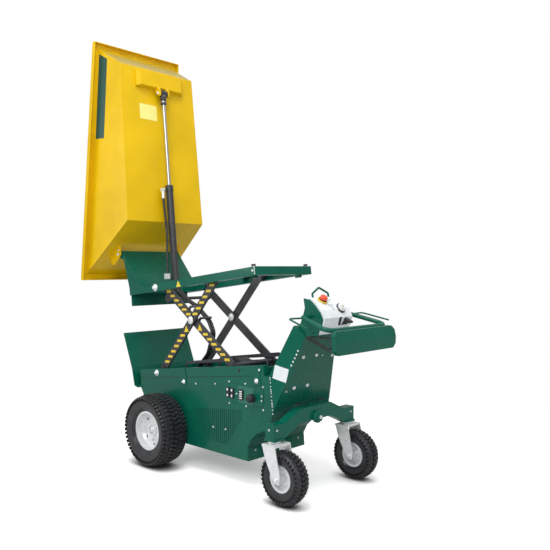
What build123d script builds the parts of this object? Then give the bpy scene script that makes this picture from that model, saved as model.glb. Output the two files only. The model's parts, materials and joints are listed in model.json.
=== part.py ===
from build123d import *
import math
import os

# High-tip site dumper, pedestrian operated.  Millimetres.
# +X is the machine's left, -Y its front (the end that tips), +Z up.
# While it is drawn, the origin lies on the ground below the drive axle.
# At the end every piece is moved along Y, so that the origin is the middle of the footprint.

# ---- deck: the chassis top and the lifting frame slope up towards the rear
deck_tilt = 7.1
deck_height = 611.0
body_half = 250.0
sheet = 4.0

# ---- chassis
rail_width = 40.0
rail_height = 57.0
rail_front = -315.0
rail_rear = 884.0
belly_height = 150.0
battery_top = 395.0
axle_height = 230.0
axle_radius = 46.0
gap = 0.3

# ---- drive wheels
drive_track = 708.0
drive_radius = 230.0
drive_width = 190.0
drive_rim_radius = 116.0
drive_lugs = 22
drive_tread = 9.0

# ---- castors
castor_half = 320.0
castor_stem = 1032.0
castor_trail = 75.0
castor_radius = 148.0
castor_width = 100.0
castor_rim_radius = 65.0
castor_lugs = 13
castor_tread = 6.0

# ---- scissor lift, in deck coordinates (u along the deck, w square to it)
cross_u = 212.0
cross_w = 302.0
arm_angle = 42.1
arm_upper = 362.0
arm_lower = 454.0
arm_width = 56.0
arm_thick = 12.0
arm_outer = 193.0
arm_gap = 3.0
pin_radius = 13.0
pin_play = 0.5

# ---- lifting frame
frame_bottom = 519.0
frame_height = 51.0
frame_front = -371.0
frame_rear = 885.0
frame_wall = 6.0

# ---- skip, lying on the deck: v along the floor from the hinge, n square to it
hinge_u = -452.0
hinge_w = 821.0
tip_travel = 88.4
skip_wall = 4.0
floor_n = -235.0
floor_front = 210.0
floor_rear = 1312.0
floor_front_half = 334.0
floor_rear_half = 315.0
mouth_front_v = -118.0
mouth_front_n = 252.0
mouth_rear_v = 1484.0
mouth_rear_n = 12.0
mouth_front_half = 380.0
rim_width = 42.0
rim_depth = 30.0

# ---- tip cylinder
tip_base_u = -166.0
tip_base_w = 544.0
eye_v = 1138.0
eye_n = -281.0
tip_barrel_length = 737.0
tip_barrel_radius = 26.0
tip_rod_radius = 12.5


def prism(points, x0, x1):
    """A plate with an outline in Y and Z, from x0 to x1."""
    face = make_face(Polyline(*points, close=True))
    return extrude(Plane.YZ.offset(x0) * face, amount=x1 - x0)


def bar(x0, x1, y0, y1, z0, z1):
    return Pos((x0 + x1) / 2, (y0 + y1) / 2, (z0 + z1) / 2) * Box(x1 - x0, y1 - y0, z1 - z0)


def shaft(radius, x0, x1, y, z):
    """A round bar along X."""
    return Pos((x0 + x1) / 2, y, z) * Rot(0, 90, 0) * Cylinder(radius, x1 - x0)


def both(piece):
    """The piece and its mirror image on the other side."""
    return piece + mirror(piece, about=Plane.YZ)


def along_line(y0, y1, radius):
    """A round bar along Y."""
    return Pos(0, (y0 + y1) / 2, 0) * Rot(90, 0, 0) * Cylinder(radius, y1 - y0)


def bent_tube(points, bends, radius):
    """A tube along straight runs joined by arcs."""
    path = FilletPolyline(*points, radius=bends)
    ring = Plane(origin=path @ 0, z_dir=path % 0) * Circle(radius)
    return sweep(ring, path=path)


def arm_plate(length_low, length_up, width, thick):
    """A flat arm with round ends about its middle pin, along Y, from X=0 to X=thick."""
    flat = bar(0, thick, -length_low, length_up, -width / 2, width / 2)
    for end in (-length_low, length_up):
        flat += shaft(width / 2, 0, thick, end, 0)
    return flat


deck = Pos(0, 0, deck_height) * Rot(deck_tilt, 0, 0)


def deck_point(u, w, x=0.0):
    place = deck * Pos(x, u, w)
    return (place.position.X, place.position.Y, place.position.Z)


parts = {}

# ---------------------------------------------------------------- chassis
def deck_line(u, w):
    """Y and Z of a deck coordinate."""
    return deck_point(u, w)[1:]


shell_top = -rail_height - gap
tower_seam = [(921, 661), (957, 472)]
side_outline = [
    deck_line(rail_front + 4, shell_top), (-307, 457), (-277, 412), (-213, belly_height),
    (757, belly_height), (750, 228), (779, 280), (824, 322), (868, 341), (920, 356),
    tower_seam[1], tower_seam[0], (886, 661), deck_line(rail_rear - 2, shell_top),
]
inner_half = body_half - sheet - gap
inner_outline = [
    deck_line(rail_front + 10, 30), (-302, 460), (-271, 415), (-208, belly_height + sheet),
    (752, belly_height + sheet), (745, 229), (775, 284), (822, 327), (866, 346), (916, 361),
    (951, 473), (916, 657), (880, 657), deck_line(rail_rear - 8, 30),
]
tray = prism(side_outline, -inner_half, inner_half)
parts["chassis_body"] = tray - prism(inner_outline, -body_half, body_half)

side_panel = prism(side_outline, body_half - sheet, body_half)
louvre_pitch = 18.0
louvre_top, louvre_low = 391.0, 215.0
for i in range(25):
    y = 262 + i * louvre_pitch
    top = louvre_top + (y - 262) * 0.12
    low = louvre_low + max(0, 400 - y) * 1.02 + max(0, y - 570) * 1.3
    side_panel -= bar(body_half - 2.6, body_half + 1, y, y + 7, low, top)
side_panel -= shaft(axle_radius + gap, body_half - 10, body_half + 10, 0, axle_height)
for u in (157, 825):
    side_panel += deck * bar(body_half, body_half + sheet, u - 27, u + 27, -112, -1)
parts["side_panel_left"] = side_panel
parts["side_panel_right"] = mirror(side_panel, about=Plane.YZ)

inner_rail = body_half - rail_width
rail = bar(inner_rail, body_half, rail_front, rail_rear, -rail_height, 0)
rails = both(rail)
rails += bar(-inner_rail, inner_rail, rail_front, rail_front + 40, -rail_height, -12)
rails += bar(-inner_rail, inner_rail, rail_rear - 40, rail_rear, -rail_height, -12)
parts["chassis_rails"] = deck * rails

apron_outline = [
    (-477, 813), (-375, 575), (-345, 460), (-307 - gap, 450), (-307 - gap, 456),
    (-341, 465), (-370, 578), (-471.5, 815),
]
parts["front_apron"] = prism(apron_outline, -275, 275)

parts["battery_pack"] = bar(-205, 205, 180, 700, belly_height + sheet + gap, battery_top)

axle = shaft(axle_radius, -body_half - 2, body_half + 2, 0, axle_height)
axle += shaft(70, -60, 60, 0, axle_height)
stub_end = drive_track / 2
stub_radius = 24.0
axle += both(shaft(stub_radius, body_half, stub_end + 20, 0, axle_height))
axle += both(shaft(60, stub_end - 22, stub_end - 12, 0, axle_height))
axle += both(bar(90, 110, -70, 70, belly_height + sheet + gap, axle_height))
parts["drive_axle"] = axle

panel_face = body_half + 3.0
switch_outline = [(610, 588), (870, 585), (881, 568), (884, 499), (867, 481), (613, 479)]
parts["switch_panel"] = prism(switch_outline, body_half, panel_face)

# two rocker switches and the charging socket: Y of the middle, width, X of what it stands on
controls = [bar(base, base + 8, y - wide / 2, y + wide / 2, 504, 562)
            for y, wide, base in ((587, 22, body_half), (627, 30, panel_face), (704, 34, panel_face))]
knob = shaft(17, panel_face, panel_face + 9, 800, 527) + shaft(24, panel_face + 9, panel_face + 30, 800, 527)
parts["panel_controls"] = Compound(controls + [knob])

# ---------------------------------------------------------------- drive wheels
def wheel_prism(radius, flats, x0, x1, end_radius=None):
    """A regular body about the X axis; with end_radius it narrows from radius at x0 to that at x1."""
    ring = Plane.YZ.offset(x0) * Rot(0, 0, 90) * RegularPolygon(radius, flats, major_radius=False)
    if end_radius is None:
        return extrude(ring, amount=x1 - x0)
    slope = math.degrees(math.atan2(radius - end_radius, abs(x1 - x0)))
    return extrude(ring, amount=x1 - x0, taper=slope)


def tyre(radius, width, bead, lugs, tread, rows):
    """A tyre of flat facets, two to each lug.  Each row of blocks has X place, width, length and turn."""
    flats = 2 * lugs
    half = width / 2
    base = radius - tread
    shoulder, wall, seat = half * 0.8, half * 0.97, half * 0.62
    wall_radius = bead + 0.55 * (base - bead)
    ring = wheel_prism(base, flats, -shoulder, shoulder)
    for side in (-1, 1):
        ring += wheel_prism(base, flats, side * shoulder, side * wall, wall_radius)
    for side in (-1, 1):
        ring -= wheel_prism(bead + 11, flats, side * seat, side * (wall + 1), wall_radius + 2)
    ring -= wheel_prism(bead, flats, -width, width)
    step = 360.0 / lugs
    for x, wide, length, turn in rows:
        block = Pos(x * half, 0, base + tread / 2 - 2) * Box(wide * half, length, tread + 4)
        ring += [Rot((i + turn) * step, 0, 0) * block for i in range(lugs)]
    return ring


def wheel_rim(profile):
    """A wheel turned about the X axis from a closed outline of X and radius."""
    return revolve(make_face(Polyline(*profile, close=True)), axis=Axis.X)


def rim_profile(bead, width, disc, hub_bore, hub, hub_in, hub_out):
    """The outline of a pressed wheel: flanged barrel, sloping dish, flat disc at X=disc, and its hub."""
    seat = width * 0.31 + gap
    flange = bead + 9
    inner = bead - 5
    outer_half = [(seat + 5, flange), (seat + 5, inner), (disc + 20, inner - 4), (disc + 5, inner - 18),
                  (disc + 5, hub), (hub_out, hub), (hub_out, hub_bore), (hub_in, hub_bore), (hub_in, hub),
                  (disc, hub)]
    inner_half = [(disc, inner - 14), (disc + 8, inner - 1), (-seat - 5, inner), (-seat - 5, flange)]
    seats = [(-seat, flange), (-seat, bead - gap), (seat, bead - gap), (seat, flange)]
    return outer_half + inner_half + seats


drive_rows = [(-0.58, 0.40, 24, 0), (0, 0.46, 24, 0.5), (0.58, 0.40, 24, 0)]
drive_tyre = tyre(drive_radius, drive_width, drive_rim_radius, drive_lugs, drive_tread, drive_rows)
drive_rim = wheel_rim(rim_profile(drive_rim_radius, drive_width, 12, stub_radius + 0.4, 42, -12 + gap, 28))
for side, name in ((1, "left"), (-1, "right")):
    place = Pos(side * drive_track / 2, 0, axle_height) * Rot(0, 0, 0 if side > 0 else 180)
    parts["drive_tyre_" + name] = place * drive_tyre
    parts["drive_rim_" + name] = place * drive_rim

# ---------------------------------------------------------------- rear beam and castors
beam_top = 483.0
beam_drop = 57.0
beam_depth = 80.0
beam_outline = [
    (-castor_half - 40, beam_top - beam_drop), (-castor_half + 60, beam_top - beam_drop), (-135, beam_top),
    (135, beam_top), (castor_half - 60, beam_top - beam_drop), (castor_half + 40, beam_top - beam_drop),
]
lower = [(x, z - beam_depth) for x, z in reversed(beam_outline)]
beam_face = make_face(Polyline(*(beam_outline + lower), close=True))
beam = extrude(Plane.XZ.offset(-castor_stem - 30) * beam_face, amount=60)
post_bottom = 336.0
for side in (-1, 1):
    x = side * castor_half
    post_top = beam_top - beam_drop - beam_depth
    beam += bar(x - 40, x + 40, castor_stem - 40, castor_stem + 40, post_bottom, post_top)
pivot_height = 420.0
pivot_radius = 20.0


def pin_along_y(radius, y0, y1, z):
    return Pos(0, (y0 + y1) / 2, z) * Rot(90, 0, 0) * Cylinder(radius, y1 - y0)


beam_front, beam_back = castor_stem - 30, castor_stem + 30
parts["rear_beam"] = beam - pin_along_y(pivot_radius + gap, beam_front - 5, beam_back + 5, pivot_height)

pivot = pin_along_y(34, 900, beam_front - gap, pivot_height) - prism(
    [(y + gap, z) for y, z in side_outline], -body_half, body_half)
pivot += pin_along_y(pivot_radius, beam_front - 20, beam_back + 20, pivot_height)
pivot += pin_along_y(30, beam_back + gap, beam_back + 12, pivot_height)
parts["beam_pivot"] = pivot

fork_half = 58.0
pin = 10.0
castor_rows = [(-0.4, 0.7, 21, 0), (0.4, 0.7, 21, 0.5)]
castor_tyre = tyre(castor_radius, castor_width, castor_rim_radius, castor_lugs, castor_tread, castor_rows)
hub_end = fork_half - 4
castor_rim = wheel_rim(rim_profile(castor_rim_radius, castor_width, -2.5, pin + 0.4, 19, -hub_end, hub_end))
for side, name in ((1, "left"), (-1, "right")):
    x = side * castor_half
    y_axle = castor_stem + castor_trail
    head = Pos(x, castor_stem, post_bottom - 4.5) * Cylinder(36, 8.4)
    crown = bar(x - fork_half - 6, x + fork_half + 6, castor_stem - 34, castor_stem + 60, 313, 325)
    crown += Pos(x, castor_stem, 326) * Cylinder(30, 8)
    leg = [(castor_stem - 34, 325), (castor_stem + 60, 325), (y_axle + 24, castor_radius + 20),
           (y_axle + 18, castor_radius - 22), (y_axle - 18, castor_radius - 22), (castor_stem - 10, 250)]
    legs = prism(leg, x + fork_half, x + fork_half + 6) + prism(leg, x - fork_half - 6, x - fork_half)
    axle_pin = shaft(pin, x - fork_half - 12, x + fork_half + 12, y_axle, castor_radius)
    parts["castor_fork_" + name] = head + crown + legs + axle_pin
    parts["castor_tyre_" + name] = Pos(x, y_axle, castor_radius) * castor_tyre
    parts["castor_rim_" + name] = Pos(x, y_axle, castor_radius) * castor_rim

# ---------------------------------------------------------------- tower and controls
def flat_half(corners, y, z):
    """Half width at Y and Z of the plane through three corners, each given as half width, Y and Z."""
    (x0, y0, z0), one, two = corners
    ax, ay, az = one[0] - x0, one[1] - y0, one[2] - z0
    bx, by, bz = two[0] - x0, two[1] - y0, two[2] - z0
    nx, ny, nz = ay * bz - az * by, az * bx - ax * bz, ax * by - ay * bx
    return x0 - (ny * (y - y0) + nz * (z - z0)) / nx


def flat_sided(corners, low, high, inset=0.0):
    """A body between two rings of two Y and Z points each, whose sides lie in the plane through corners."""
    rings = []
    for pair in (low, high):
        (h0, y0, z0), (h1, y1, z1) = [(flat_half(corners, y, z) - inset, y, z) for y, z in pair]
        ring = [(-h0, y0, z0), (h0, y0, z0), (h1, y1, z1), (-h1, y1, z1)]
        rings.append(make_face(Polyline(*ring, close=True)))
    return loft(rings, ruled=True)


tower_low = [(y + gap, z) for y, z in tower_seam]
tower_high = [(1035, 952), (1100, 893)]
tower_side = [(body_half, *tower_low[0]), (body_half, *tower_low[1]), (140, *tower_high[1])]
parts["tower"] = flat_sided(tower_side, tower_low, tower_high)

parts["rear_cover"] = prism([(756.4, 160), (750.9, 222), (753.9, 222), (759.4, 160)], -225, 225)

head_half = 132.0
cheek = [
    (1078, 1106), (1123, 1099), (1161, 1068), (1197, 1029), (1215, 994), (1207, 954), (1187, 927),
    (1182, 903), (1100, 893 + gap), (1045, 942.9 + gap), (1053, 958), (1075, 1011), (1088, 1053),
]
parts["head_cheeks"] = both(prism(cheek, head_half - 8, head_half))
head_outline = [
    (1084, 1098), (1118, 1110), (1168, 1085), (1204, 1048), (1228, 1000), (1216, 955), (1178, 908),
    (1100, 893 + gap), (1062, 927.5 + gap), (1082, 1010), (1094, 1052),
]
head = prism(head_outline, -head_half + 8 + gap, head_half - 8 - gap)
stop_place = Pos(62, 1158, 1094) * Rot(-35, 0, 0)
dial_place = Pos(-45, 1205, 1050) * Rot(-55, 0, 0)
head -= stop_place * Cylinder(19 + gap, 26 + gap)
head -= dial_place * Cylinder(24 + gap, 18 + gap)
parts["head_housing"] = head - bar(-27, -14, 1204, 1240, 942, 1003)
parts["stop_button"] = stop_place * (Cylinder(19, 26) + Pos(0, 0, 16) * Cylinder(22, 10))
parts["dial"] = dial_place * (Cylinder(24, 18) + Pos(0, 0, 12) * Cylinder(15, 10))
parts["head_lever"] = prism([(1226.6, 993), (1264, 977), (1264, 966), (1220.1, 968)], -80, -48)
hoop_path = [(70, 1096, 1104), (70, 1090, 1130), (0, 1080, 1163), (-70, 1090, 1130), (-70, 1096, 1104)]
hoop = bent_tube(hoop_path, [10, 14, 10], 6)
parts["head_hoop"] = hoop

tube = 13.0
loop_front, loop_rear = (1130, 1008), (1362, 950)
loop_half = [(head_half + gap, *loop_front), (208, *loop_front), (275, *loop_rear)]
loop_path = loop_half + [(-x, y, z) for x, y, z in reversed(loop_half)]
parts["handle_loop"] = bent_tube(loop_path, [40, 45, 45, 40], tube)
guard_path = [(228.7, 1149, 1004), (330, 1145, 1006), (374, 1308, 968)]
parts["guard_bars"] = both(bent_tube(guard_path, [28], 5))

# the stop plate behind the handle, folded along its middle, with its four corners cut off
stop_half = 275.0
behind = loop_rear[0] + tube + gap
stop_outline = [(behind + 7, 951), (behind + 32, 949), (behind + 46, 890), (behind + 44, 825),
                (behind + 19, 826), (behind + 21, 890)]
stop_plate = prism(stop_outline, -stop_half, stop_half)
for z in (825, 951):
    stop_plate -= both(Pos(stop_half, behind + 30, z) * Rot(0, 45, 0) * Box(34, 80, 34))
stop_plate += both(bar(200, 215, behind, behind + 15, 935, 950))
stop_plate += bar(-75, 40, behind, behind + 15, 938, 948)
parts["stop_plate"] = stop_plate

# ---------------------------------------------------------------- scissor lift
run = math.radians(arm_angle)
low_u = cross_u - arm_lower * math.cos(run)
low_w = cross_w - arm_lower * math.sin(run)
slide_low_u = cross_u + arm_lower * math.cos(run)
high_u = cross_u - arm_upper * math.cos(run)
high_w = cross_w + arm_upper * math.sin(run)
slide_high_u = cross_u + arm_upper * math.cos(run)
a_out = arm_outer - arm_thick - arm_gap
a_in = a_out - arm_thick
b_in = arm_outer - arm_thick

track_floor = low_w - 20.3
base = both(bar(a_out + 2, inner_rail - gap, 500, 830, track_floor - 6, track_floor))
base += both(shaft(pin_radius, b_in - 8, 201, low_u, low_w))
base += both(shaft(20, arm_outer + 2, inner_rail - 8, low_u, low_w))
base += both(bar(arm_outer + 3, inner_rail - gap, low_u - 24, low_u + 24, -57, -15))
ring_rail = [(60, -84), (60, 20), (90, 36), (640, 48), (690, 28), (828, 28), (828, -84), (816, -84),
             (816, 20), (686, 20), (72, 20), (72, -84)]
base += both(prism(ring_rail, 142, 150))
base += bar(-inner_half, inner_half, 56, 76, -94, -84)
base += bar(-inner_half, inner_half, 810, 832, -94, -84)
parts["scissor_base"] = deck * base

lift_axis = low_w - 45.6
lift_barrel_front, lift_barrel_rear = 80.0, 430.0
lift_eye = slide_low_u - 29
lift_barrel = Pos(0, 0, lift_axis) * along_line(lift_barrel_front, lift_barrel_rear, 27)
lift_barrel += bar(-40, 40, 70, 86, -84, lift_axis + 27)
parts["lift_barrel"] = deck * lift_barrel
lift_rod = Pos(0, 0, lift_axis) * along_line(lift_barrel_rear + 0.5, lift_eye, 14)
lift_rod += bar(-18, 18, lift_eye - 10, lift_eye + 2, lift_axis - 16, lift_axis + 16)
lift_rod += both(bar(10, 18, lift_eye, slide_low_u + 16, lift_axis - 16, lift_axis + 16))
parts["lift_rod"] = deck * lift_rod

arm_b = arm_plate(arm_lower, arm_upper, arm_width, arm_thick)
arm_b -= shaft(pin_radius + pin_play, -5, arm_thick + 5, -arm_lower, 0)
pair_b = Pos(b_in, cross_u, cross_w) * Rot(arm_angle, 0, 0) * arm_b
pair_b += shaft(17, arm_outer, 240, slide_high_u, high_w)
pair_b += shaft(pin_radius, a_in - 6, arm_outer, cross_u, cross_w)
for x0, x1 in ((a_in - 8, a_in - pin_play), (arm_outer, arm_outer + 6)):
    pair_b += shaft(24, x0, x1, cross_u, cross_w)
parts["arms_b"] = deck * both(pair_b)

arm_a = arm_plate(arm_upper, arm_lower, arm_width, arm_thick)
arm_a -= shaft(pin_radius + pin_play, -5, arm_thick + 5, 0, 0)
arm_a -= shaft(pin_radius + pin_play, -5, arm_thick + 5, -arm_upper, 0)
lug = prism([(-arm_upper + 30, -20), (-arm_upper + 48, -72), (-arm_upper + 82, -72), (-arm_upper + 110, -20)],
            0, arm_thick)
arm_a += lug
hose_x, hose_spread, hose_radius = 105.0, 22.0, 8.5
hose_clip = 40.0
hose_lift = hose_clip - gap - hose_radius
hose_path = [(-318, 4), (-215, 4), (-105, hose_lift), (55, hose_lift), (135, -10), (172, -150), (150, -275)]
cross_bars = shaft(11, -a_in - 6, a_in + 6, -arm_upper + 65, -54)
for y in (-84, 38):
    cross_bars += bar(a_in - 6, a_in + 1, y - 8, y + 8, 10, hose_clip + 7)
    cross_bars += bar(hose_x - hose_spread - 12, a_in, y - 8, y + 8, hose_clip, hose_clip + 7)
arm_place = Pos(0, cross_u, cross_w) * Rot(-arm_angle, 0, 0)
pair_a = arm_place * Pos(a_in, 0, 0) * arm_a
pair_a += shaft(20, a_out, arm_outer + 2, slide_low_u, low_w)
arms_a = both(pair_a)
arms_a += arm_place * cross_bars
arms_a += shaft(16, -a_in - 6, a_in + 6, slide_low_u, low_w)
arms_a += bar(-6, 6, slide_low_u - 14, slide_low_u + 14, lift_axis - 12, low_w)
parts["arms_a"] = deck * arms_a

# ---------------------------------------------------------------- lifting frame
frame_top = frame_bottom + frame_height
frame_inner = body_half - rail_width
channel = bar(frame_inner, body_half, frame_front, frame_rear, frame_bottom, frame_top)
channel -= bar(frame_inner - 1, body_half - frame_wall, 300, frame_rear - 50,
               frame_bottom + frame_wall, frame_top - frame_wall)
frame = both(channel)
frame += bar(-frame_inner, frame_inner, frame_rear - 40, frame_rear, frame_bottom, frame_top)
frame += bar(-frame_inner, frame_inner, frame_front, frame_front + 50, frame_bottom, frame_top)
tip_tube = bar(-frame_inner, frame_inner, tip_base_u - 62, tip_base_u - 34, frame_bottom, frame_top)
frame += tip_tube
for x in (-40, 32):
    frame += bar(x, x + 8, tip_base_u - 40, tip_base_u + 16, tip_base_w - 22, tip_base_w + 22)
frame += shaft(12, -32, 32, tip_base_u, tip_base_w)
frame += both(bar(150, 162, -130, -34, frame_bottom + 3, frame_top))
frame += both(bar(150, frame_inner, -130, -98, frame_top - 18, frame_top))
frame += both(shaft(pin_radius, 155, a_out + 1, high_u, high_w))
for u in (frame_front + 41, frame_rear - 62):
    frame += both(bar(frame_inner - 26, frame_inner, u - 19, u + 19, frame_bottom, frame_bottom + 6))
    frame += both(bar(frame_inner - 26, frame_inner - 6, u - 19, u + 19, frame_bottom - 14, frame_bottom))
parts["top_frame"] = deck * frame
buffer = Pos(230, frame_rear - 26, frame_top + gap + 7.5) * Cylinder(13, 15)
parts["frame_buffers"] = deck * both(buffer)

hinge_base = (-243.5, frame_top + gap)
hinge_edge = (-427.0, 843.0)
inner_edge = (hinge_edge[0] - 4.1, hinge_edge[1] - 2.8)
plate = [hinge_base, hinge_edge, inner_edge, (hinge_base[0] - 6, hinge_base[1])]
plate_face = prism(plate, -body_half, body_half)
cheek_outline = [(hinge_edge[0] - 2, hinge_edge[1] - 3), (frame_front, frame_top + gap),
                 (hinge_base[0] - 3, frame_top + gap)]
cheeks = both(prism(cheek_outline, body_half - 6, body_half))
boss = both(prism([(hinge_u - 22, hinge_w - 18), (hinge_u - 22, hinge_w + 18), (hinge_u + 20, hinge_w + 22),
                   (hinge_u + 66, hinge_w - 60)], body_half - 6, body_half))
hinge_pins = both(shaft(10, body_half - 20, body_half + 20, hinge_u, hinge_w))
parts["hinge_plate"] = deck * (plate_face + cheeks + boss + hinge_pins)
apron_low = bar(-body_half, body_half, frame_front + 14, frame_front + 19, 442, frame_bottom)
parts["front_skirt"] = deck * apron_low

# ---------------------------------------------------------------- skip
skip_place = deck * Pos(0, hinge_u, hinge_w) * Rot(tip_travel, 0, 0)


skip_side = [(floor_front_half, floor_front, floor_n), (floor_rear_half, floor_rear, floor_n),
             (mouth_front_half, mouth_front_v, mouth_front_n)]
mouth_rear_half = flat_half(skip_side, mouth_rear_v, mouth_rear_n)


def tub(wall):
    """The skip's outer form for wall=0, and what is cut out of it for a positive wall."""
    floor = [(floor_front + wall, floor_n + wall), (floor_rear - wall, floor_n + wall)]
    mouth = [(mouth_front_v + wall, mouth_front_n), (mouth_rear_v - wall, mouth_rear_n)]
    if wall:
        mouth = [(v + 0.02 * (v - v0), n + 0.02 * (n - n0)) for (v, n), (v0, n0) in zip(mouth, floor)]
    return flat_sided(skip_side, floor, mouth, wall)


parts["skip_tub"] = skip_place * (tub(0) - tub(skip_wall))

rim_angle = math.degrees(math.atan2(mouth_front_n - mouth_rear_n, mouth_rear_v - mouth_front_v))
rim_length = math.hypot(mouth_front_n - mouth_rear_n, mouth_rear_v - mouth_front_v)
rim_plane = Pos(0, mouth_front_v, mouth_front_n) * Rot(-rim_angle, 0, 0)


def rim_ring(grow, x_grow):
    return make_face(Polyline((-mouth_front_half - x_grow, -grow), (mouth_front_half + x_grow, -grow),
                              (mouth_rear_half + x_grow, rim_length + grow),
                              (-mouth_rear_half - x_grow, rim_length + grow), close=True))


rim = extrude(rim_ring(rim_width, rim_width), amount=skip_wall) - extrude(rim_ring(0, 0), amount=skip_wall)
skirt = extrude(rim_ring(rim_width, rim_width), amount=-rim_depth)
skirt -= extrude(rim_ring(rim_width - skip_wall, rim_width - skip_wall), amount=-rim_depth)
parts["skip_rim"] = skip_place * rim_plane * (rim + skirt)

# the folded bracket under the floor's rear end, with slanting ends, and the clevis on it
bracket_half = 204.0
bracket_fold = [(eye_v + 31, floor_n), (eye_v + 155, floor_n), (eye_v + 137, floor_n - 40),
                (eye_v + 42, floor_n - 40)]
bracket = prism(bracket_fold, -bracket_half, bracket_half)
bracket -= both(Pos(bracket_half, eye_v + 93, floor_n - 40) * Rot(0, 55, 0) * Box(40, 160, 40))
for x in (-44, 32):
    bracket += prism([(eye_v - 18, eye_n - 20), (eye_v + 12, eye_n - 22), (eye_v + 62, floor_n - 38),
                      (eye_v + 62, floor_n), (eye_v + 31, floor_n), (eye_v - 22, eye_n)], x, x + 12)
parts["skip_bracket"] = skip_place * bracket

ear = prism([(75, -26), (-6, -24), (-20, -6), (-70, 60), (-62, 90), (0, 120)], body_half + 8, body_half + 18)
ear -= shaft(10 + gap, body_half, body_half + 30, 0, 0)
ear -= Pos(0, -gap, 0) * tub(0)
parts["skip_ears"] = skip_place * both(ear)

# ---------------------------------------------------------------- tip cylinder
base_point = deck_point(tip_base_u, tip_base_w)
eye_place = skip_place * Pos(0, eye_v, eye_n)
reach = math.hypot(eye_place.position.Y - base_point[1], eye_place.position.Z - base_point[2])
lean = math.degrees(math.atan2(eye_place.position.Z - base_point[2], eye_place.position.Y - base_point[1]))
tip_line = Pos(*base_point) * Rot(lean, 0, 0)
tip_body = along_line(20, tip_barrel_length, tip_barrel_radius)
tip_body += shaft(24, -24, 24, 0, 0)
tip_body -= shaft(12.4, -30, 30, 0, 0)
tip_body -= along_line(120, tip_barrel_length + 5, tip_rod_radius + 0.4)
port = tip_barrel_length - 34
clamp_place = 333.0
for place, out in ((port, 42), (78, 50)):
    tip_body += shaft(9, 0, out, place, 6)
tip_body += bar(0, 33, clamp_place - 6, clamp_place + 6, -3, 3)
tip_body -= along_line(120, tip_barrel_length + 5, tip_rod_radius + 0.4)
parts["tip_barrel"] = tip_line * tip_body

hose_top, hose_foot = (54, port - 62, 6), (62, 105, 6)
tip_hose_path = [hose_top, (46, 440, 3), (41 + hose_radius, clamp_place, 0), hose_foot]
parts["tip_hose"] = tip_line * bent_tube(tip_hose_path, [400, 300], hose_radius)
sleeve = Pos(54, 0, 6) * along_line(hose_top[1] + 2 * gap, port + 10, 11)
foot_block = bar(50 + gap, 82, 66, hose_foot[1] - 3 * gap, -8, 20)
elbow = sleeve + shaft(13, 42 + gap, 68, port, 6)
parts["tip_fittings"] = tip_line * Compound([elbow, foot_block])

tip_rod = along_line(port - 3, reach - 60, tip_rod_radius)
tip_rod += along_line(reach - 80, reach - 10, 20)
tip_rod += shaft(24, -22, 22, reach, 0)
tip_rod -= shaft(14, -30, 30, reach, 0)
parts["tip_rod"] = tip_line * tip_rod

# ---------------------------------------------------------------- hoses of the lift, on the inner arms
hose_bends = [90, 90, 120, 70, 110]
hoses = []
for x in (hose_x, hose_x - hose_spread):
    hoses.append(bent_tube([(x, y, z) for y, z in hose_path], hose_bends, hose_radius))
parts["lift_hoses"] = deck * arm_place * Compound(hoses)

# ---------------------------------------------------------------- write
ends = [piece.bounding_box() for piece in parts.values()]
middle = (min(box.min.Y for box in ends) + max(box.max.Y for box in ends)) / 2
os.makedirs("parts", exist_ok=True)
for name, piece in parts.items():
    export_step(Pos(0, -middle, 0) * piece, "parts/" + name + ".step")
print("origin moved by", round(-middle, 3))
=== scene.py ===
import json
import math

import bpy
from bpy.props import FloatProperty, FloatVectorProperty, IntProperty, PointerProperty
from mathutils import Matrix, Vector


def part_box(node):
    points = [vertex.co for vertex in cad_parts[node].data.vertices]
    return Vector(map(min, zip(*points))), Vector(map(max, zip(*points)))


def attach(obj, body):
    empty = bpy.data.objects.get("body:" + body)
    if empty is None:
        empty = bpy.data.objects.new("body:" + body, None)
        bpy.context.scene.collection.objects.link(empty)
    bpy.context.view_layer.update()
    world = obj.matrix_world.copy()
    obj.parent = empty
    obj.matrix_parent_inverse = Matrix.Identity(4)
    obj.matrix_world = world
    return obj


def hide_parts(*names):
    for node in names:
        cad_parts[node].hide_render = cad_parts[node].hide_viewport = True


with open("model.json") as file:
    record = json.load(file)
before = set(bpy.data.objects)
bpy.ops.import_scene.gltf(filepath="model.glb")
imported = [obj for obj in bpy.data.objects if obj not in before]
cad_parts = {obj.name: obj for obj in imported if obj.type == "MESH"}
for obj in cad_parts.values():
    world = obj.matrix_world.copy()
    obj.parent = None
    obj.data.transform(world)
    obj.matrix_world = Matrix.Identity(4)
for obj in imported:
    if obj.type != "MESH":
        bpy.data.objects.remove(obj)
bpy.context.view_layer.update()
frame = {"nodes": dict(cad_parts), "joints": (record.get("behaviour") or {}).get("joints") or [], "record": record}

bl_info = {
    "name": "Site Dumper Finish",
    "version": (1, 0, 0),
    "blender": (4, 5, 0),
    "location": "3D View > Sidebar > Dumper",
    "description": "Paint, tyres, fittings, marks and a studio for a high-tip site dumper",
    "category": "Object",
}

# ---------------------------------------------------------------- places, from the frame
JOINTS = {joint["name"]: joint for joint in frame["joints"]}


def pivot(name):
    return Vector(JOINTS[name]["pos_m"])


def local_frame(origin, angle):
    """A frame turned about X, with its Y along a sloping member."""
    return Matrix.Translation(origin) @ Matrix.Rotation(angle, 4, "X")


LIFT_LINE = JOINTS["lift_cylinder"]["axis"]
SLOPE = math.atan2(LIFT_LINE[2], LIFT_LINE[1])
TIPPED = SLOPE - math.radians(JOINTS["tip"]["range_deg"][0])
AXLE = pivot("drive_roll_left")
DECK_HEIGHT = 0.611  # of the deck above the ground, over the drive axle
GROUND = Matrix.Translation((0, AXLE.y, 0))
DECK = local_frame((0, AXLE.y, DECK_HEIGHT), SLOPE)
SKIP = local_frame(pivot("tip"), TIPPED)


def angle_to(start, end):
    step = end - start
    return math.atan2(step.z, step.y)


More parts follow.
